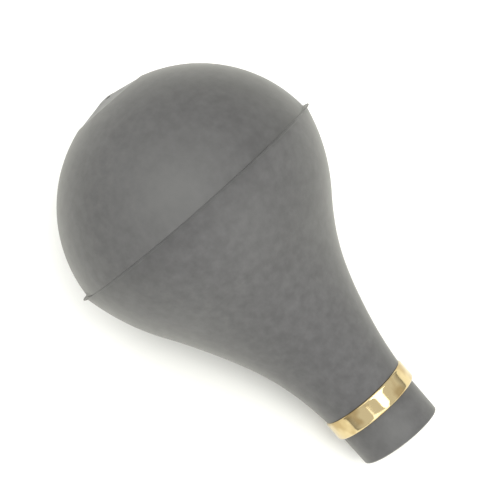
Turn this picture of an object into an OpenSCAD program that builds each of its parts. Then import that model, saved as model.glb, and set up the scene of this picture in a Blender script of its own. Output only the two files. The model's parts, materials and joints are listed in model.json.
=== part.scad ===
// Squeeze bulb of a dust blower: two rubber halves bonded at a seam, a brass band round the neck,
// a bush in the mouth that takes a nozzle, and a one-way air inlet in the top of the dome.
// Each piece is drawn standing on its own axis, with the seam at z = 0, the dome above it and the neck
// below. lie() then lays the bulb on the table, where it rests on the seam's flash and on the mouth.

/* [Bulb] */
// Diameter of the neck half at the seam, without the flash
bulb_d = 60.4; // [50:0.2:72]
// Amount that the dome half stands back from the neck half at the seam, on the radius
seam_step = 0.5; // [0:0.1:1]
// Height of the dome's sphere above the seam
dome_h = 28.1; // [24:0.1:33.3]
// Width of the dome's low cone round the inlet's recess
crown_rim = 0.6; // [0.2:0.1:3]
// Height of that cone's tip above the dome's sphere
crown_rise = 0.1; // [-0.3:0.05:0.3]
// Thickness of the rubber wall
wall = 2.6; // [2:0.1:3.4]
// Depth that the dome half's lip reaches into the neck half
lip_h = 2; // [1:0.5:3]
// Height of the flash left standing along the seam
flash_h = 0.7; // [0.4:0.1:1.5]
// Width of the flash where it meets the wall
flash_w = 1.1; // [0.6:0.1:2]
// Width of the flash at its thin edge
flash_edge = 0.2; // [0.1:0.05:0.5]

/* [Neck] */
// Length from the seam to the shoulder that the band rests against
neck_l = 53; // [44:1:64]
// Diameter of the shoulder
shoulder_d = 19.7; // [16:0.1:23.3]
// Radius of the belly's curve, in section
belly_r = 44.5; // [40:0.5:54]
// Angle that the belly leans in as it leaves the seam, in degrees
seam_lean = 11; // [6:0.5:13.5]
// Taper of the neck where it reaches the shoulder, in degrees
neck_taper = 5; // [2:0.5:6]
// Length of the tail, from the shoulder to the mouth
tail_l = 12.5; // [10:0.1:16]
// Amount that the tail's radius shrinks from the band to the mouth
tail_taper = 0.05; // [0:0.05:0.4]
// Rounding of the mouth's outer edge
mouth_round = 0.5; // [0.3:0.1:1.2]

/* [Band] */
// Width of the brass band
band_w = 4.5; // [3.2:0.1:5]
// Thickness of the band
band_t = 0.8; // [0.7:0.05:1.1]
// Height that the band stands above the shoulder
band_proud = 0.35; // [0.2:0.05:0.6]
// Rounding of the band's outer edges
band_round = 0.55; // [0.3:0.05:0.7]

/* [Neck bush] */
// Bore that takes the nozzle's shank
socket_d = 8; // [6:0.1:9.8]
// Wall of the bush between its barbs
bush_wall = 1.4; // [1:0.1:1.7]
// Length of the bush
bush_l = 17; // [14:0.5:20.5]
// Depth of the bush below the mouth's face
bush_inset = 0.6; // [0.2:0.1:1.5]
// Number of barbs that grip the rubber
barb_count = 3; // [1:1:4]
// Height of a barb
barb_h = 0.4; // [0.2:0.1:0.6]
// Length of a barb
barb_l = 2.6; // [1.5:0.1:3]
// Chamfer at both ends of the bore
socket_chamfer = 0.6; // [0.2:0.1:0.8]

/* [Inlet valve] */
// Diameter of the flange that shows at the top of the dome
flange_d = 15.6; // [13:0.1:19]
// Thickness of the flange at its rim
flange_t = 0.6; // [0.4:0.1:1]
// Rounding of the flange's upper edge
flange_round = 0.25; // [0.1:0.05:0.35]
// Gap round the flange
flange_gap = 0.3; // [0.1:0.05:0.6]
// Wall of the barrel that goes through the rubber
barrel_wall = 1; // [0.8:0.1:1.5]
// Height that the bead stands out from the barrel, to lock it inside the dome
bead_h = 1.4; // [0.8:0.1:2]
// Thickness of that bead
bead_t = 1.2; // [0.8:0.1:1.6]
// Diameter of the loose disc
disc_d = 7.8; // [6.5:0.1:9.4]
// Thickness of the disc
disc_t = 0.8; // [0.5:0.1:1]
// Travel of the disc, from its seat to the cage
disc_lift = 0.8; // [0.4:0.1:1]
// Gap round the disc
disc_gap = 0.3; // [0.2:0.05:0.4]
// Height of the ring that the disc seals on
seal_h = 0.3; // [0.2:0.1:0.5]
// Width of that ring
seal_w = 0.5; // [0.3:0.1:0.7]
// Number of air holes
air_hole_count = 5; // [3:1:6]
// Diameter of an air hole
air_hole_d = 1.3; // [0.8:0.1:1.5]
// Thickness of the cage
cage_t = 1.2; // [0.8:0.1:1.5]
// Width of the cage's rim
cage_rim = 0.9; // [0.7:0.1:1.2]
// Width of the cage's cross bars
cage_bar = 1; // [0.6:0.1:1.4]

/* [Hidden] */
$fn = 96;
rubber = [0.36, 0.36, 0.36];
brass = [0.83, 0.67, 0.36];
ebonite = [0.3, 0.3, 0.31];

bulb_r = bulb_d / 2;
shoulder_r = shoulder_d / 2;
tail_r = shoulder_r + band_proud - band_t;
mouth_r = tail_r - tail_taper;
flash_r = bulb_r + flash_h;
lip_r = bulb_r - wall / 2;

// The dome is a cap of a sphere that passes through the seam and the top
dome_edge_r = bulb_r - seam_step;
dome_r = (dome_edge_r * dome_edge_r + dome_h * dome_h) / (2 * dome_h);
dome_c = dome_h - dome_r;

// The crown is a low cone. It takes in the inlet's flange and a little of the rubber round it
flange_r = flange_d / 2;
recess_r = flange_r + flange_gap;
crown_r = recess_r + crown_rim;
crown_z = dome_h + crown_rise;
crown_edge_z = dome_c + sqrt(dome_r * dome_r - crown_r * crown_r);
crown_slope = (crown_z - crown_edge_z) / crown_r;

// The neck half is a belly arc and a throat arc, tangent to each other. The throat arc also ends on the
// shoulder with the neck's taper. Points are [radius, height]
shoulder = [shoulder_r, -neck_l];
belly_c = [bulb_r - belly_r * cos(seam_lean), belly_r * sin(seam_lean)];
throat_n = [cos(neck_taper), -sin(neck_taper)];
span = shoulder - belly_c;
throat_r = (span * span - belly_r * belly_r) / (2 * (belly_r - span * throat_n));
throat_c = shoulder + throat_r * throat_n;
belly_to_throat = (throat_c - belly_c) / (belly_r + throat_r);

mouth_z = -neck_l - tail_l;

// Bush in the mouth
bush_z = mouth_z + bush_inset;
bush_r = socket_d / 2 + bush_wall;
bush_top = bush_z + bush_l;
bush_lead = 2;

// Inlet valve. Its flange lies flush in a recess in the crown, and the rubber below the recess keeps the
// full wall
recess_z = crown_z - crown_slope * recess_r - flange_t;
pad_z = recess_z - wall;
disc_r = disc_d / 2;
chamber_r = disc_r + disc_gap;
barrel_r = chamber_r + barrel_wall;
bead_r = barrel_r + bead_h;
barrel_z = pad_z - bead_t;
disc_z = barrel_z + cage_t + disc_lift;
plate_z = disc_z + disc_t + seal_h;
seal_r = disc_r - disc_gap;
tip_r = 0.8;
air_hole_edge = 0.3;
air_ring_r = seal_r - seal_w - air_hole_edge - air_hole_d / 2;

// The table touches the flash's edge and the rounded rim of the mouth
rim = [mouth_r - mouth_round, mouth_z + mouth_round];
rest_r = flash_r - rim[0];
rest_l = -flash_edge / 2 - rim[1];
lie_angle = acos(mouth_round / norm([rest_r, rest_l])) - atan2(rest_l, rest_r);
axis_height = flash_r * cos(lie_angle) + flash_edge / 2 * sin(lie_angle);

// The dome's circle that is furthest from the mouth once the bulb lies down, and the two ends of the bulb
far_r = max(crown_r, dome_r * sin(lie_angle));
far_z = dome_c + sqrt(dome_r * dome_r - far_r * far_r);
dome_end = -far_z * cos(lie_angle) - far_r * sin(lie_angle);
mouth_end = -rim[1] * cos(lie_angle) + rim[0] * sin(lie_angle) + mouth_round;

// Lays a piece on the table, centred over the origin: the neck points along +X and dips down to it
module lie() {
    translate([-(dome_end + mouth_end) / 2, 0, axis_height]) rotate([0, lie_angle - 90, 0]) children();
}

// Solid of the neck half down to the shoulder, taken in by a thickness all round
module pear_profile(inset) {
    join = belly_c + belly_to_throat * (belly_r - inset);
    intersection() {
        translate(belly_c) circle(r = belly_r - inset, $fn = 200);
        translate([0, join[1]]) square([bulb_r, -join[1]]);
    }
    difference() {
        translate([0, -neck_l]) square([join[0], neck_l + join[1]]);
        translate(throat_c) circle(r = throat_r + inset, $fn = 400);
    }
}

module tail_profile() {
    difference() {
        union() {
            translate([0, -neck_l - band_w]) square([tail_r, band_w]);
            polygon([[0, rim[1]], [mouth_r, rim[1]], [tail_r, -neck_l - band_w], [0, -neck_l - band_w]]);
            translate([0, mouth_z]) square([rim[0], mouth_round]);
            translate(rim) circle(r = mouth_round);
        }
        translate([-mouth_r, mouth_z - 1]) square([mouth_r, neck_l]);
    }
}

module flash_profile() {
    polygon([
        [lip_r, -flash_w / 2], [bulb_r, -flash_w / 2], [flash_r, -flash_edge / 2],
        [flash_r, 0], [lip_r, 0]
    ]);
}

// Outside of the bush, and so also the shape that it presses into the rubber
module bush_body() {
    translate([0, 0, bush_z]) cylinder(r = bush_r, h = bush_l);
    pitch = (bush_l - bush_lead) / barb_count;
    for (i = [0 : barb_count - 1])
        translate([0, 0, bush_top - (i + 1) * pitch]) cylinder(r1 = bush_r + barb_h, r2 = bush_r, h = barb_l);
}

module neck_half() {
    color(rubber) difference() {
        rotate_extrude() {
            difference() {
                pear_profile(0);
                intersection() {
                    pear_profile(wall);
                    translate([0, bush_top]) square([bulb_r, -bush_top]);
                }
                // rebate for the dome half's lip
                translate([0, -lip_h]) square([lip_r, lip_h]);
            }
            tail_profile();
            flash_profile();
        }
        bush_body();
        translate([0, 0, mouth_z - 1]) cylinder(r = bush_r, h = bush_l);
    }
}

module dome_half() {
    color(rubber) difference() {
        rotate_extrude() {
            difference() {
                intersection() {
                    translate([0, dome_c]) circle(r = dome_r, $fn = 200);
                    square([bulb_r + dome_r, dome_h]);
                }
                intersection() {
                    translate([0, dome_c]) circle(r = dome_r - wall, $fn = 200);
                    square([bulb_r, pad_z]);
                }
                polygon([[0, crown_z], [crown_r, crown_edge_z], [crown_r, 2 * dome_h], [0, 2 * dome_h]]);
                translate([0, recess_z]) square([recess_r, dome_h]);
                square([barrel_r, dome_h]);
            }
            // lip that reaches into the neck half
            translate([bulb_r - wall, -lip_h]) square([wall / 2, 2 * lip_h]);
        }
    }
}

module brass_band() {
    color(brass) rotate_extrude() translate([tail_r, -neck_l - band_w]) intersection() {
        square([band_t, band_w]);
        union() {
            square([band_t - band_round, band_w]);
            translate([0, band_round]) square([band_t, band_w - 2 * band_round]);
            for (edge = [band_round, band_w - band_round])
                translate([band_t - band_round, edge]) circle(r = band_round, $fn = 32);
        }
    }
}

module neck_bush() {
    color(brass) difference() {
        bush_body();
        translate([0, 0, bush_z - 1]) cylinder(d = socket_d, h = bush_l + 2);
        for (end = [0, 1])
            translate([0, 0, end * (bush_top + bush_z)]) mirror([0, 0, end]) translate([0, 0, bush_z])
                cylinder(r1 = socket_d / 2 + socket_chamfer, r2 = socket_d / 2, h = socket_chamfer);
    }
}

// The flange is a low cone with a rounded edge
module flange_profile() {
    top = recess_z + flange_t;
    polygon([
        [0, recess_z], [flange_r, recess_z], [flange_r, top - flange_round], [flange_r - flange_round, top],
        [tip_r, crown_z], [0, crown_z]
    ]);
    translate([flange_r - flange_round, top - flange_round]) circle(r = flange_round, $fn = 32);
}

// Spool that snaps into the top of the dome, with air holes and a ring that the disc seals on
module inlet_seat() {
    root = recess_z + flange_t / 2;
    color(ebonite) difference() {
        rotate_extrude() {
            flange_profile();
            polygon([
                [0, root], [0, plate_z], [seal_r - seal_w, plate_z], [seal_r - seal_w, plate_z - seal_h],
                [seal_r, plate_z - seal_h], [seal_r, plate_z], [chamber_r, plate_z], [chamber_r, barrel_z],
                [barrel_r, barrel_z], [bead_r, pad_z], [barrel_r, pad_z], [barrel_r, root]
            ]);
        }
        for (i = [0 : air_hole_count - 1])
            rotate(i * 360 / air_hole_count) translate([air_ring_r, 0, plate_z - 1])
                cylinder(d = air_hole_d, h = dome_h);
    }
}

module inlet_disc() {
    color(rubber) translate([0, 0, disc_z]) cylinder(r = disc_r, h = disc_t);
}

module inlet_cage() {
    color(ebonite) translate([0, 0, barrel_z]) {
        difference() {
            cylinder(r = chamber_r, h = cage_t);
            translate([0, 0, -1]) cylinder(r = chamber_r - cage_rim, h = cage_t + 2);
        }
        for (turn = [0, 90])
            rotate(turn) translate([cage_rim / 2 - chamber_r, -cage_bar / 2, 0])
                cube([2 * chamber_r - cage_rim, cage_bar, cage_t]);
    }
}

lie() neck_half();
lie() dome_half();
lie() brass_band();
lie() neck_bush();
lie() inlet_seat();
lie() inlet_disc();
lie() inlet_cage();
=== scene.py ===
"""Looks of the dust blower bulb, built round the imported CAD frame. Metres throughout.

The sections follow the bulb as it is put together: the neck half, the dome half that is bonded to it,
the brass band, the bush in the mouth, the inlet valve in the top, then the table, lights and camera.
"""
import json
import math

import bmesh
import bpy
from mathutils import Matrix, Vector, noise


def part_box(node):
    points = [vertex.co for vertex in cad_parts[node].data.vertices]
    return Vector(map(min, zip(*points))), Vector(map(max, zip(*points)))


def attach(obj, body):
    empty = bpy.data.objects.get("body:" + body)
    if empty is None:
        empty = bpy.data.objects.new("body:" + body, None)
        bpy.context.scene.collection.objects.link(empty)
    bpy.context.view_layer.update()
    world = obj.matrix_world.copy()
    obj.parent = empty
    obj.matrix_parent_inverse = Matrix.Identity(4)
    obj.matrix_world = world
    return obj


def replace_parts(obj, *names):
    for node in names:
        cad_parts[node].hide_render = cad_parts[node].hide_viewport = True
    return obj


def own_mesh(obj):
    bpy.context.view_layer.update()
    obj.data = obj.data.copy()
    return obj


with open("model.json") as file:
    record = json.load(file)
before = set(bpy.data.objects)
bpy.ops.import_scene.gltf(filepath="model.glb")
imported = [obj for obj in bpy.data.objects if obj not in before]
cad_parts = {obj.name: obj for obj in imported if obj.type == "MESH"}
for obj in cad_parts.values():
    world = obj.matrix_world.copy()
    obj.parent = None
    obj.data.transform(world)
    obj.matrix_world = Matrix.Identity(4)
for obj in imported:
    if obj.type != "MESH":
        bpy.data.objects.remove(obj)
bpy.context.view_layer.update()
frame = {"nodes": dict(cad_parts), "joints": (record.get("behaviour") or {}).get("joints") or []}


# ---------------------------------------------------------------------------------------------------
# Neck half. The lower half of the bulb is moulded in grey natural rubber: belly, throat, shoulder and
# the short tail that ends in the mouth. A fin of flash is left where the two halves' moulds closed.

squeeze = next(joint for joint in frame["joints"] if joint["name"] == "squeeze")
to_mouth = Vector(squeeze["axis"]).normalized()
flash_radius = (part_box("neck_half")[1].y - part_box("neck_half")[0].y) / 2
flash_height = 0.0007
bulb_radius = flash_radius - flash_height
flash_edge = 0.0002
flash_base = 0.0005
flash_round = 0.00005
flash_foot = 0.0001
# The flash is worn down on both sides of a line over the top, given as degrees round the axis. It is a
# little ragged, in long and short waves, and the skin next to it is worn away with it
flash_worn_at = -12
flash_worn_half = 84
flash_worn_fade = 14
flash_worn_share = 0.96
long_waves = 9
short_waves = 40
worn_away = 0.0005
worn_depth = 0.0035
skin_depth = 0.0011
mouth_skew = math.tan(math.radians(3))
mouth_skew_reach = 0.006
belly_lean = 0.0008
belly_lean_at = -0.0245
belly_lean_reach = 0.011
# The flash touches the frame's low X and low Z, so the centre of the seam follows from its radius
seam_centre = Vector((
    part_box("neck_half")[0].x - flash_radius * to_mouth.z,
    0.0,
    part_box("neck_half")[0].z + flash_radius * to_mouth.x - flash_edge / 2 * to_mouth.z,
))
# The bulb's own axis has the dome up and the mouth down. This lays it down as the frame has it
lie_down = Matrix.Translation(seam_centre) @ Matrix((
    (-to_mouth.z, 0, -to_mouth.x),
    (0, 1, 0),
    (to_mouth.x, 0, -to_mouth.z),
)).to_4x4()

rubber_wall = 0.0026
lip_depth = 0.002
neck_length = 0.053
tail_length = 0.0125
band_width = 0.0045
shoulder_radius = 0.00985
tail_radius = 0.0094
mouth_radius = 0.00935
mouth_round = 0.0005
cut_edge = 0.0002
bush_radius = 0.0054
bush_inset = 0.0006
bush_length = 0.017
barb_count = 3
barb_height = 0.0004
barb_length = 0.0026
bush_lead = 0.002
barb_pitch = (bush_length - bush_lead) / barb_count
belly_curve = 0.0445
seam_lean = math.radians(11)
neck_taper = math.radians(5)
turns = 192


class Outline:
    """The section of a turned piece: a pen draws it in the XZ plane, and it is then turned about Z."""

    def __init__(self, radius, height):
        self.mesh = bmesh.new()
        self.first = self.mesh.verts.new((radius, 0, height))
        self.pen = self.first

    def line(self, radius, height, steps=1):
        start = self.pen.co.copy()
        for step in range(steps):
            corner = self.mesh.verts.new(start.lerp(Vector((radius, 0, height)), (step + 1) / steps))
            self.mesh.edges.new((self.pen, corner))
            self.pen = corner
        return self

    def arc(self, centre, angle, steps):
        """Swings the pen about a centre, given as radius and height. Positive is from Z towards X."""
        swept = bmesh.ops.spin(
            self.mesh, geom=[self.pen], cent=(centre[0], 0, centre[1]), axis=(0, 1, 0),
            angle=angle, steps=steps, use_duplicate=False)
        self.pen = next(item for item in swept["geom_last"] if isinstance(item, bmesh.types.BMVert))
        return self

    def close(self):
        self.mesh.edges.new((self.pen, self.first))
        return self

    def turned(self, steps=turns):
        bmesh.ops.spin(
            self.mesh, geom=self.mesh.verts[:] + self.mesh.edges[:], cent=(0, 0, 0), axis=(0, 0, 1),
            angle=math.tau, steps=steps, use_merge=True, use_duplicate=False)
        bmesh.ops.remove_doubles(self.mesh, verts=self.mesh.verts[:], dist=1e-7)
        bmesh.ops.recalc_face_normals(self.mesh, faces=self.mesh.faces[:])
        return self.mesh


def angle_from_up(centre, point):
    """Direction of a point seen from a centre, both given as radius and height."""
    return math.atan2(point[0] - centre[0], point[1] - centre[1])


def shade_smooth(mesh, crease=math.radians(32)):
    for face in mesh.faces:
        face.smooth = True
    for edge in mesh.edges:
        if edge.is_manifold and edge.calc_face_angle() > crease:
            edge.smooth = False


def place(name, mesh, material, body):
    """Makes a piece of a mesh that is already where the frame has it, and hangs it on its CAD body."""
    shade_smooth(mesh)
    data = bpy.data.meshes.new(name)
    mesh.to_mesh(data)
    mesh.free()
    data.materials.append(material)
    piece = bpy.data.objects.new(name, data)
    bpy.context.scene.collection.objects.link(piece)
    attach(piece, body)
    return piece


def lay(mesh):
    bmesh.ops.transform(mesh, matrix=lie_down, verts=mesh.verts[:])
    return mesh


def hand_made(mesh, amount, size, seed):
    """Lets a moulded skin wander by a few hundredths of a millimetre, as rubber does out of the mould."""
    mesh.normal_update()
    moved = [
        vert.co + vert.normal * amount * noise.noise(vert.co / size + Vector((seed, 0, 0)))
        for vert in mesh.verts
    ]
    for vert, point in zip(mesh.verts, moved):
        vert.co = point


class Finish:
    """A material and its shader, with the few kinds of node that the finishes below are made of."""

    def __init__(self, name, roughness, metallic=0.0):
        self.material = bpy.data.materials.new(name)
        self.material.use_nodes = True
        self.tree = self.material.node_tree
        self.shader = self.tree.nodes["Principled BSDF"]
        self.shader.inputs["Roughness"].default_value = roughness
        self.shader.inputs["Metallic"].default_value = metallic
        self.coordinates = self.tree.nodes.new("ShaderNodeTexCoord").outputs["Object"]

    def mapped(self, location=(0, 0, 0), rotation=(0, 0, 0), scale=(1, 1, 1)):
        """Object coordinates, moved, turned and stretched for one pattern."""
        mapping = self.tree.nodes.new("ShaderNodeMapping")
        mapping.inputs["Location"].default_value = location
        mapping.inputs["Rotation"].default_value = rotation
        mapping.inputs["Scale"].default_value = scale
        self.tree.links.new(self.coordinates, mapping.inputs["Vector"])
        return mapping.outputs["Vector"]

    def clouds(self, size, detail=4.0, roughness=0.5, on=None):
        """Soft noise with blotches of about the given size."""
        node = self.tree.nodes.new("ShaderNodeTexNoise")
        node.inputs["Scale"].default_value = 1 / size
        node.inputs["Detail"].default_value = detail
        node.inputs["Roughness"].default_value = roughness
        self.tree.links.new(on or self.coordinates, node.inputs["Vector"])
        return node.outputs["Fac"]

    def levels(self, value, low, high, to_low=0.0, to_high=1.0):
        """Stretches the values between low and high over a new span."""
        node = self.tree.nodes.new("ShaderNodeMapRange")
        node.inputs["From Min"].default_value = low
        node.inputs["From Max"].default_value = high
        node.inputs["To Min"].default_value = to_low
        node.inputs["To Max"].default_value = to_high
        self.tree.links.new(value, node.inputs["Value"])
        return node.outputs["Result"]

    def sums(self, operation, first, second):
        """Adds, takes away or multiplies two values, each a number or another node's value."""
        node = self.tree.nodes.new("ShaderNodeMath")
        node.operation = operation
        for socket, value in zip(node.inputs, (first, second)):
            if isinstance(value, float):
                socket.default_value = value
            else:
                self.tree.links.new(value, socket)
        return node.outputs["Value"]

    def mixed(self, share, first, second):
        """Blends two colours, each a triple or another node's colour, by a share."""
        node = self.tree.nodes.new("ShaderNodeMix")
        node.data_type = "RGBA"
        sockets = [socket for socket in node.inputs if socket.type == "RGBA"]
        self.tree.links.new(share, node.inputs[0])
        for socket, colour in zip(sockets, (first, second)):
            if isinstance(colour, tuple):
                socket.default_value = (*colour, 1)
            else:
                self.tree.links.new(colour, socket)
        return next(socket for socket in node.outputs if socket.type == "RGBA")

    def bumped(self, height, strength, depth, under=None):
        """Turns a height pattern into surface relief of the given depth, over an earlier relief."""
        node = self.tree.nodes.new("ShaderNodeBump")
        node.inputs["Strength"].default_value = strength
        node.inputs["Distance"].default_value = depth
        self.tree.links.new(height, node.inputs["Height"])
        if under is not None:
            self.tree.links.new(under, node.inputs["Normal"])
        return node.outputs["Normal"]

    def spot(self, centre, reach, weight):
        """A soft round patch: the weight at its centre, nothing beyond its reach."""
        away = self.tree.nodes.new("ShaderNodeVectorMath")
        away.operation = "DISTANCE"
        away.inputs[1].default_value = centre
        self.tree.links.new(self.coordinates, away.inputs[0])
        return self.levels(away.outputs["Value"], reach, 0.0, 0.0, weight)

    def feed(self, socket, value):
        self.tree.links.new(value, self.shader.inputs[socket])


def moulded_rubber(name, seed, painted_light_patches, painted_shade_patch, seam_shade, shade_from, shade_to):
    """Matt grey rubber: cloudy, finely grained, with a soft bloom that lightens its rim. Paler patches of
    painted light and a darker patch of painted shade lie on it. Each patch is a place, a reach and a weight.
    Along the
    seam there is painted shade too: a thin line, and a band whose weight grows from one place across the
    bulb to another."""
    dark_rubber = (0.067, 0.066, 0.067)
    light_rubber = (0.091, 0.090, 0.091)
    # The paler colour below is painted light, laid on where the bulb is lit brighter
    painted_lit_rubber = (0.112, 0.112, 0.110)
    # The darkest colour is painted shade, for the dark patch and along the seam
    painted_shade_colour = (0.03, 0.03, 0.029)
    finish = Finish(name, roughness=0.6)
    finish.shader.inputs["Specular IOR Level"].default_value = 0.2
    finish.shader.inputs["Sheen Weight"].default_value = 0.26
    finish.shader.inputs["Sheen Roughness"].default_value = 0.5
    finish.shader.inputs["Sheen Tint"].default_value = (0.95, 0.95, 0.87, 1)
    shifted = finish.mapped(location=(seed, 0, 0))
    broad = finish.clouds(0.016, detail=3.0, on=shifted)
    fine = finish.clouds(0.0022, detail=5.0, roughness=0.6, on=shifted)
    mottle = finish.levels(fine, 0.3, 0.7, -0.3, 0.7)
    tone = finish.sums("ADD", finish.levels(broad, 0.3, 0.7, 0.0, 0.4), mottle)
    along = finish.tree.nodes.new("ShaderNodeVectorMath")
    along.operation = "DOT_PRODUCT"
    along.inputs[1].default_value = to_mouth
    finish.tree.links.new(finish.coordinates, along.inputs[0])
    off_seam = finish.sums("SUBTRACT", along.outputs["Value"], seam_centre.dot(to_mouth))
    off_seam = finish.sums("ABSOLUTE", off_seam, 0.0)
    across = finish.tree.nodes.new("ShaderNodeSeparateXYZ")
    finish.tree.links.new(finish.coordinates, across.inputs["Vector"])
    # Painted shade: a thin dark line along the seam, on one side of the bulb only
    line = finish.levels(off_seam, 0.0012, 0.0, 0.0, 0.16)
    line = finish.sums("MULTIPLY", line, finish.levels(across.outputs["Y"], -0.014, 0.002))
    # Painted shade: a broader darker band beside the seam, growing across the bulb
    shade = finish.levels(off_seam, 0.0055, 0.0, 0.0, seam_shade)
    shade = finish.sums("MULTIPLY", shade, finish.levels(across.outputs["Y"], shade_from, shade_to))
    # All the painted shade adds up here: the dark patch, the seam's line and its band
    painted_shade = finish.sums("ADD", finish.spot(*painted_shade_patch), finish.sums("ADD", line, shade))
    skin = finish.mixed(tone, dark_rubber, light_rubber)
    # Painted light: each patch mixes in the paler colour
    for light_patch in painted_light_patches:
        skin = finish.mixed(finish.spot(*light_patch), skin, painted_lit_rubber)
    finish.feed("Base Color", finish.mixed(painted_shade, skin, painted_shade_colour))
    finish.feed("Roughness", finish.levels(broad, 0.3, 0.7, 0.54, 0.68))
    grain = finish.clouds(0.00028, detail=3.0, roughness=0.6, on=shifted)
    finish.feed("Normal", finish.bumped(grain, 0.3, 0.00003, finish.bumped(fine, 0.15, 0.0001)))
    return finish.material


# Belly and throat are two arcs that meet at a tangent, each centre given as radius and height
belly_centre = Vector((bulb_radius - belly_curve * math.cos(seam_lean), belly_curve * math.sin(seam_lean)))
shoulder = Vector((shoulder_radius, -neck_length))
throat_side = Vector((math.cos(neck_taper), -math.sin(neck_taper)))
span = shoulder - belly_centre
throat_curve = (span.length_squared - belly_curve ** 2) / (2 * (belly_curve - span.dot(throat_side)))
throat_centre = shoulder + throat_curve * throat_side
between = (throat_centre - belly_centre).normalized()
join_angle = math.atan2(between.x, between.y)
mouth_height = -neck_length - tail_length
bush_top = mouth_height + bush_inset + bush_length


def belly_inside(height):
    return belly_centre.x + math.sqrt((belly_curve - rubber_wall) ** 2 - (height - belly_centre.y) ** 2)


def throat_inside(height):
    return throat_centre.x - math.sqrt((throat_curve + rubber_wall) ** 2 - (height - throat_centre.y) ** 2)


neck = Outline(flash_radius, 0)
neck.line(flash_radius - flash_round, -flash_edge)
neck.line(bulb_radius - flash_foot, -flash_base, steps=3)
under_flash = Vector((neck.pen.co.x, neck.pen.co.z))
neck.arc(belly_centre, join_angle - angle_from_up(belly_centre, under_flash), 90)
neck.line(*(belly_centre + between * belly_curve))
neck.arc(throat_centre, angle_from_up(throat_centre, shoulder) - (join_angle - math.pi), 70)
neck.line(tail_radius, -neck_length)
neck.line(tail_radius, -neck_length - band_width, steps=2)
neck.line(mouth_radius, mouth_height + mouth_round, steps=16)
neck.arc((mouth_radius - mouth_round, mouth_height + mouth_round), math.pi / 2, 8)
neck.line(bush_radius + cut_edge, mouth_height, steps=4)
neck.line(bush_radius, mouth_height + cut_edge)
for barb in reversed(range(barb_count)):
    barb_foot = bush_top - (barb + 1) * barb_pitch
    neck.line(bush_radius, barb_foot)
    neck.line(bush_radius + barb_height, barb_foot)
    neck.line(bush_radius, barb_foot + barb_length)
neck.line(bush_radius, bush_top)
neck.line(throat_inside(bush_top), bush_top)
inner_join = belly_centre + between * (belly_curve - rubber_wall)
inner_floor = Vector((neck.pen.co.x, neck.pen.co.z))
neck.arc(throat_centre, (join_angle - math.pi) - angle_from_up(throat_centre, inner_floor), 40)
neck.line(*inner_join)
ledge = Vector((belly_inside(-lip_depth), -lip_depth))
neck.arc(belly_centre, angle_from_up(belly_centre, ledge) - join_angle, 40)
neck.line(*ledge)
neck.line(bulb_radius - rubber_wall / 2, -lip_depth)
neck.line(bulb_radius - rubber_wall / 2, 0)
neck.line(bulb_radius - flash_foot, 0)
neck.close()
neck_mesh = neck.turned()
# The mouth was cut a little off square, and the belly came out of the mould a little to one side. The
# flash stands up at both sides and below. Over the top it is rubbed down, almost flush with the dome
for vert in neck_mesh.verts:
    at_mouth = min(1.0, max(0.0, (mouth_height + mouth_skew_reach - vert.co.z) / mouth_skew_reach))
    vert.co.z -= vert.co.y * mouth_skew * at_mouth
    vert.co.y -= belly_lean * math.exp(-((vert.co.z - belly_lean_at) / belly_lean_reach) ** 2)
    proud = math.hypot(vert.co.x, vert.co.y) - bulb_radius
    if proud > -skin_depth and vert.co.z > -worn_depth:
        around = Vector((vert.co.x, vert.co.y, 0)).normalized()
        turn = abs(math.degrees(math.atan2(around.y, around.x)) - flash_worn_at)
        turn = min(turn, 360 - turn)
        worn = min(1.0, max(0.0, (flash_worn_half - turn) / flash_worn_fade))
        ragged = 0.04 * (1 + noise.noise(around * long_waves))
        ragged += 0.02 * (1 + noise.noise(around * short_waves))
        rubbed = worn * worn_away * (1 + vert.co.z / worn_depth) ** 2
        vert.co -= around * (max(0.0, proud) * (flash_worn_share * worn + ragged) + rubbed)
hand_made(neck_mesh, 0.00006, 0.02, 3.0)
neck_rubber = moulded_rubber(
    "neck_rubber", seed=0.3,
    # Painted light: two paler patches, on the belly near the seam and on the tail
    painted_light_patches=[
        (lie_down @ Vector((0.0290, -0.0010, -0.0090)), 0.012, 0.3),
        (lie_down @ Vector((0.0092, -0.0025, -0.0620)), 0.007, 0.7),
    ],
    # Painted shade: a darker patch on one side of the neck
    painted_shade_patch=(lie_down @ Vector((0.0150, 0.0150, -0.0150)), 0.020, 0.15),
    # Painted shade along the seam
    seam_shade=0.2, shade_from=0.022, shade_to=0.008)
neck_piece = place("rubber_neck_half", lay(neck_mesh), neck_rubber, "bulb")
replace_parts(neck_piece, "neck_half")


# ---------------------------------------------------------------------------------------------------
# Dome half. The upper half is moulded of the same rubber, with a flat recess and a hole at its top for
# the inlet valve. Its lip sits inside the neck half, and the two are cemented together along the seam.

dome_height = 0.0281
seam_step = 0.0005
foot_round = 0.0001
dome_edge_radius = bulb_radius - seam_step
recess_radius = 0.0081
crown_radius = recess_radius + 0.0006
crown_rise = 0.0001
flange_thickness = 0.0006
barrel_radius = 0.0052
dome_curve = (dome_edge_radius ** 2 + dome_height ** 2) / (2 * dome_height)
dome_centre = Vector((0, dome_height - dome_curve))
crown_edge = Vector((crown_radius, dome_centre.y + math.sqrt(dome_curve ** 2 - crown_radius ** 2)))
crown_slope = (dome_height + crown_rise - crown_edge.y) / crown_radius
recess_top = dome_height + crown_rise - crown_slope * recess_radius
recess_floor = recess_top - flange_thickness
pad_height = recess_floor - rubber_wall
pad_radius = math.sqrt((dome_curve - rubber_wall) ** 2 - (pad_height - dome_centre.y) ** 2)

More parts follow.
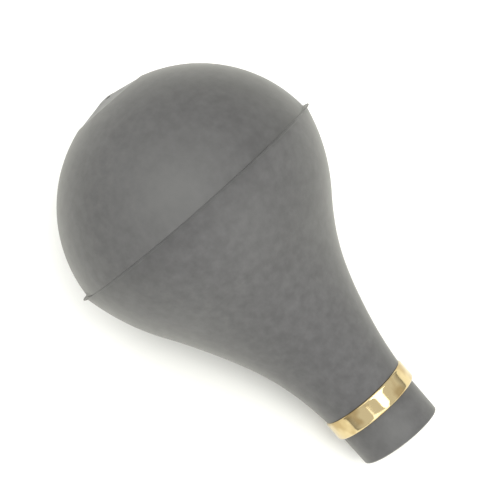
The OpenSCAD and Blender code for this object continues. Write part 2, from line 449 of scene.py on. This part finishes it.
dome_foot = Vector((dome_edge_radius, foot_round))
dome = Outline(dome_edge_radius - foot_round, 0)
dome.line(*dome_foot)
dome.arc(dome_centre, angle_from_up(dome_centre, crown_edge) - angle_from_up(dome_centre, dome_foot), 96)
dome.line(recess_radius + cut_edge, recess_top - crown_slope * cut_edge, steps=2)
dome.line(recess_radius, recess_top - cut_edge / 2)
dome.line(recess_radius, recess_floor)
dome.line(barrel_radius, recess_floor, steps=2)
dome.line(barrel_radius, pad_height, steps=2)
dome.line(pad_radius, pad_height, steps=2)
inner_foot = Vector((math.sqrt((dome_curve - rubber_wall) ** 2 - dome_centre.y ** 2), 0))
pad_edge = (pad_radius, pad_height)
dome.arc(dome_centre, angle_from_up(dome_centre, inner_foot) - angle_from_up(dome_centre, pad_edge), 60)
dome.line(bulb_radius - rubber_wall, -lip_depth, steps=2)
dome.line(bulb_radius - rubber_wall / 2, -lip_depth)
dome.line(bulb_radius - rubber_wall / 2, 0)
dome.close()
dome_mesh = dome.turned()
hand_made(dome_mesh, 0.00006, 0.02, 8.0)
dome_rubber = moulded_rubber(
    "dome_rubber", seed=0.7,
    # Painted light: a broad paler patch on the dome
    painted_light_patches=[(lie_down @ Vector((0.0275, -0.0080, 0.0060)), 0.018, 0.75)],
    # Painted shade: a darker patch on one side of the dome
    painted_shade_patch=(lie_down @ Vector((0.0200, 0.0190, 0.0100)), 0.030, 0.34),
    # Painted shade along the seam
    seam_shade=0.12, shade_from=0.004, shade_to=0.012)
dome_piece = place("rubber_dome_half", lay(dome_mesh), dome_rubber, "dome")
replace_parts(dome_piece, "dome_half")
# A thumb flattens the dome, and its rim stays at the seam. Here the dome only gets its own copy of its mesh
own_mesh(dome_piece)


# ---------------------------------------------------------------------------------------------------
# Brass band. A polished brass ring, turned from tube with a flat face and softened edges, pushed up
# the tail against the shoulder to clamp the rubber on the bush inside.

band_radius = (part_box("brass_band")[1].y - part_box("brass_band")[0].y) / 2
band_edge = 0.00055


def polished_brass():
    """Brass polished round the band: fine lines from the polishing, and a thin warm tarnish in clouds."""
    finish = Finish("polished_brass", roughness=0.14, metallic=1.0)
    along_axis = finish.mapped(rotation=(0, -math.asin(-to_mouth.z), 0), scale=(18, 1, 1))
    lines = finish.clouds(0.004, detail=6.0, roughness=0.7, on=along_axis)
    patches = finish.clouds(0.005, detail=2.0)
    tarnish = finish.levels(patches, 0.45, 0.58)
    finish.feed("Base Color", finish.mixed(tarnish, (0.58, 0.47, 0.26), (0.42, 0.31, 0.15)))
    finish.feed("Roughness", finish.levels(patches, 0.35, 0.7, 0.06, 0.14))
    finish.feed("Normal", finish.bumped(lines, 0.12, 0.00002))
    return finish.material


band_top = -neck_length
band_foot = band_top - band_width
band = Outline(tail_radius, band_top)
band.line(band_radius - band_edge, band_top, steps=2)
band.arc((band_radius - band_edge, band_top - band_edge), math.pi / 2, 8)
band.line(band_radius, band_foot + band_edge, steps=6)
band.arc((band_radius - band_edge, band_foot + band_edge), math.pi / 2, 8)
band.line(tail_radius, band_foot, steps=2)
band.close()
band_piece = place("brass_band_ring", lay(band.turned()), polished_brass(), "bulb")
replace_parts(band_piece, "brass_band")


# ---------------------------------------------------------------------------------------------------
# Neck bush. A brass sleeve, turned with barbs outside, sits in the mouth under the band. The nozzle's
# shank pushes into its bore.

def turned_brass():
    """Brass straight off the lathe: fine rings round the bore and a duller, browner tone."""
    finish = Finish("turned_brass", roughness=0.3, metallic=1.0)
    rings = finish.clouds(0.0004, detail=2.0, on=finish.mapped(scale=(6, 1, 1)))
    patches = finish.clouds(0.003, detail=3.0)
    browned = finish.levels(patches, 0.4, 0.65)
    finish.feed("Base Color", finish.mixed(browned, (0.74, 0.56, 0.28), (0.60, 0.43, 0.20)))
    finish.feed("Roughness", finish.levels(patches, 0.35, 0.7, 0.24, 0.38))
    finish.feed("Normal", finish.bumped(rings, 0.2, 0.00002))
    return finish.material


def smooth_copy(node, name, material, body):
    """A small hard piece keeps its CAD shape: its triangles are merged, so that it shades as one surface."""
    mesh = bmesh.new()
    mesh.from_mesh(frame["nodes"][node].data)
    bmesh.ops.remove_doubles(mesh, verts=mesh.verts[:], dist=1e-7)
    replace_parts(place(name, mesh, material, body), node)


smooth_copy("neck_bush", "neck_bush_sleeve", turned_brass(), "bulb")


# ---------------------------------------------------------------------------------------------------
# Inlet valve. A hard rubber spool snaps into the dome's hole, with its flange in the recess. A loose
# rubber disc inside lets air in through the five holes and closes them when the bulb is squeezed.

def hard_rubber():
    """Dense moulded rubber, smoother than the bulb's, with a faint shine."""
    finish = Finish("hard_rubber", roughness=0.45)
    finish.shader.inputs["Specular IOR Level"].default_value = 0.45
    patches = finish.clouds(0.003, detail=4.0)
    finish.feed("Base Color", finish.mixed(patches, (0.10, 0.10, 0.099), (0.125, 0.125, 0.122)))
    finish.feed("Roughness", finish.levels(patches, 0.3, 0.7, 0.38, 0.52))
    finish.feed("Normal", finish.bumped(finish.clouds(0.0002, detail=2.0), 0.15, 0.00002))
    return finish.material


def disc_rubber():
    finish = Finish("disc_rubber", roughness=0.6)
    patches = finish.clouds(0.002, detail=4.0)
    finish.feed("Base Color", finish.mixed(patches, (0.03, 0.03, 0.03), (0.06, 0.06, 0.058)))
    finish.feed("Normal", finish.bumped(patches, 0.1, 0.00003))
    return finish.material


spool_rubber = hard_rubber()
smooth_copy("inlet_seat", "inlet_valve_spool", spool_rubber, "dome")
smooth_copy("inlet_cage", "inlet_valve_cage", spool_rubber, "dome")
smooth_copy("inlet_disc", "inlet_valve_disc", disc_rubber(), "valve_disc")


# ---------------------------------------------------------------------------------------------------
# Table, lights and camera. A plain white table under soft daylight from the upper right.

table_mesh = bmesh.new()
bmesh.ops.create_grid(table_mesh, x_segments=2, y_segments=2, size=3.0)
table_data = bpy.data.meshes.new("table")
table_mesh.to_mesh(table_data)
table_mesh.free()
table = bpy.data.objects.new("table", table_data)
bpy.context.scene.collection.objects.link(table)
table_finish = Finish("white_table", roughness=0.7)
table_finish.feed(
    "Base Color", table_finish.mixed(table_finish.clouds(0.2), (0.90, 0.905, 0.86), (0.915, 0.915, 0.88)))
table_data.materials.append(table_finish.material)

world = bpy.data.worlds.new("daylight")
bpy.context.scene.world = world
world.use_nodes = True
sky = world.node_tree
sky.nodes["Background"].inputs["Color"].default_value = (1.0, 1.0, 0.99, 1)
towards = sky.nodes.new("ShaderNodeTexCoord").outputs["Generated"]
rise = sky.nodes.new("ShaderNodeSeparateXYZ")
sky.links.new(towards, rise.inputs["Vector"])
# The room is dimmer low down, where its walls are
low_wall = sky.nodes.new("ShaderNodeMapRange")
low_wall.inputs["From Max"].default_value = 0.3
low_wall.inputs["To Min"].default_value = 0.45
low_wall.inputs["To Max"].default_value = 1.0
sky.links.new(rise.outputs["Z"], low_wall.inputs["Value"])
sky.links.new(low_wall.outputs["Result"], sky.nodes["Background"].inputs["Strength"])

azimuth = math.radians(46.3)
elevation = math.radians(72.2)
back = Vector((
    math.sin(azimuth) * math.cos(elevation),
    -math.cos(azimuth) * math.cos(elevation),
    math.sin(elevation),
))
right = Vector((0, 0, 1)).cross(back).normalized()
up = back.cross(right)
distance = 0.4
view_width = 0.10348
aim = seam_centre + right * 0.01124 - up * 0.01008


def soft_light(name, towards, distance, width, height, brightness, colour=(1, 1, 1)):
    """A panel of light that hangs in the given direction from the bulb and faces it."""
    lamp = bpy.data.lights.new(name, "AREA")
    lamp.shape = "RECTANGLE"
    lamp.size = width
    lamp.size_y = height
    lamp.energy = brightness * math.pi * width * height
    lamp.color = colour
    panel = bpy.data.objects.new(name, lamp)
    away = Vector(towards).normalized()
    panel.location = Vector((0, 0, 0.03)) + away * distance
    panel.rotation_mode = "QUATERNION"
    panel.rotation_quaternion = away.to_track_quat("Z", "Y")
    bpy.context.scene.collection.objects.link(panel)


# The window is across the bulb, and the two softer panels are past its dome and past its mouth
to_window = (right * 0.755 + up * 0.656).normalized()
past_mouth = (right * 0.656 - up * 0.755).normalized()
soft_light("window", back + to_window * math.tan(math.radians(24)), 1.0, 0.72, 0.72, 3.2, (1.0, 1.0, 0.94))
soft_light("lamp", back + to_window * math.tan(math.radians(10)), 0.9, 0.22, 0.22, 9.0)
soft_light("past_dome", back * 0.75 - past_mouth, 1.0, 0.9, 0.9, 1.0)
soft_light("past_mouth", back * 0.95 + past_mouth, 1.0, 0.9, 0.9, 1.6)

lens = bpy.data.cameras.new("camera")
lens.sensor_width = 36.0
lens.lens = lens.sensor_width * distance / view_width
lens.clip_start = 0.01
lens.clip_end = 10
camera = bpy.data.objects.new("camera", lens)
camera.location = aim + back * distance
camera.rotation_mode = "QUATERNION"
camera.rotation_quaternion = back.to_track_quat("Z", "Y")
bpy.context.scene.collection.objects.link(camera)
bpy.context.scene.camera = camera
bpy.context.scene.view_settings.view_transform = "Standard"
